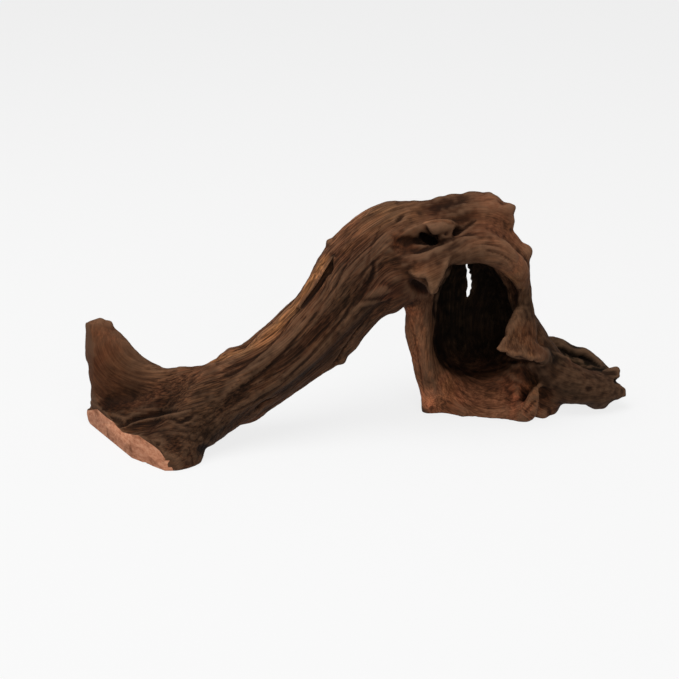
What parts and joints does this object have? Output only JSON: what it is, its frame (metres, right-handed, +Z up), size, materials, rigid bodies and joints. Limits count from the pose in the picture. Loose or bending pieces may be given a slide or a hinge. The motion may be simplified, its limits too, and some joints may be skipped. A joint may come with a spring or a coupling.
{
  "type": "driftwood piece",
  "caption": "Natural driftwood: a fluted limb rises from a sawn root, arches over and comes down as a hollow shell like a small cave, with a knobbly root beside it.",
  "frame": {"origin": "the middle of the footprint, on the surface that the piece stands on", "axes": "+Z up, +X along the piece from the sawn root to the outer root, -Y towards the open side of the cave"},
  "size_m": [0.3388, 0.1538, 0.142],
  "materials": {
    "weathered_wood": "dry weathered dark brown wood with long open grain, matte, lighter on its ridges and on the sawn root"
  },
  "bodies": {
    "root": {"driftwood": "weathered_wood"}
  },
  "joints": []
}
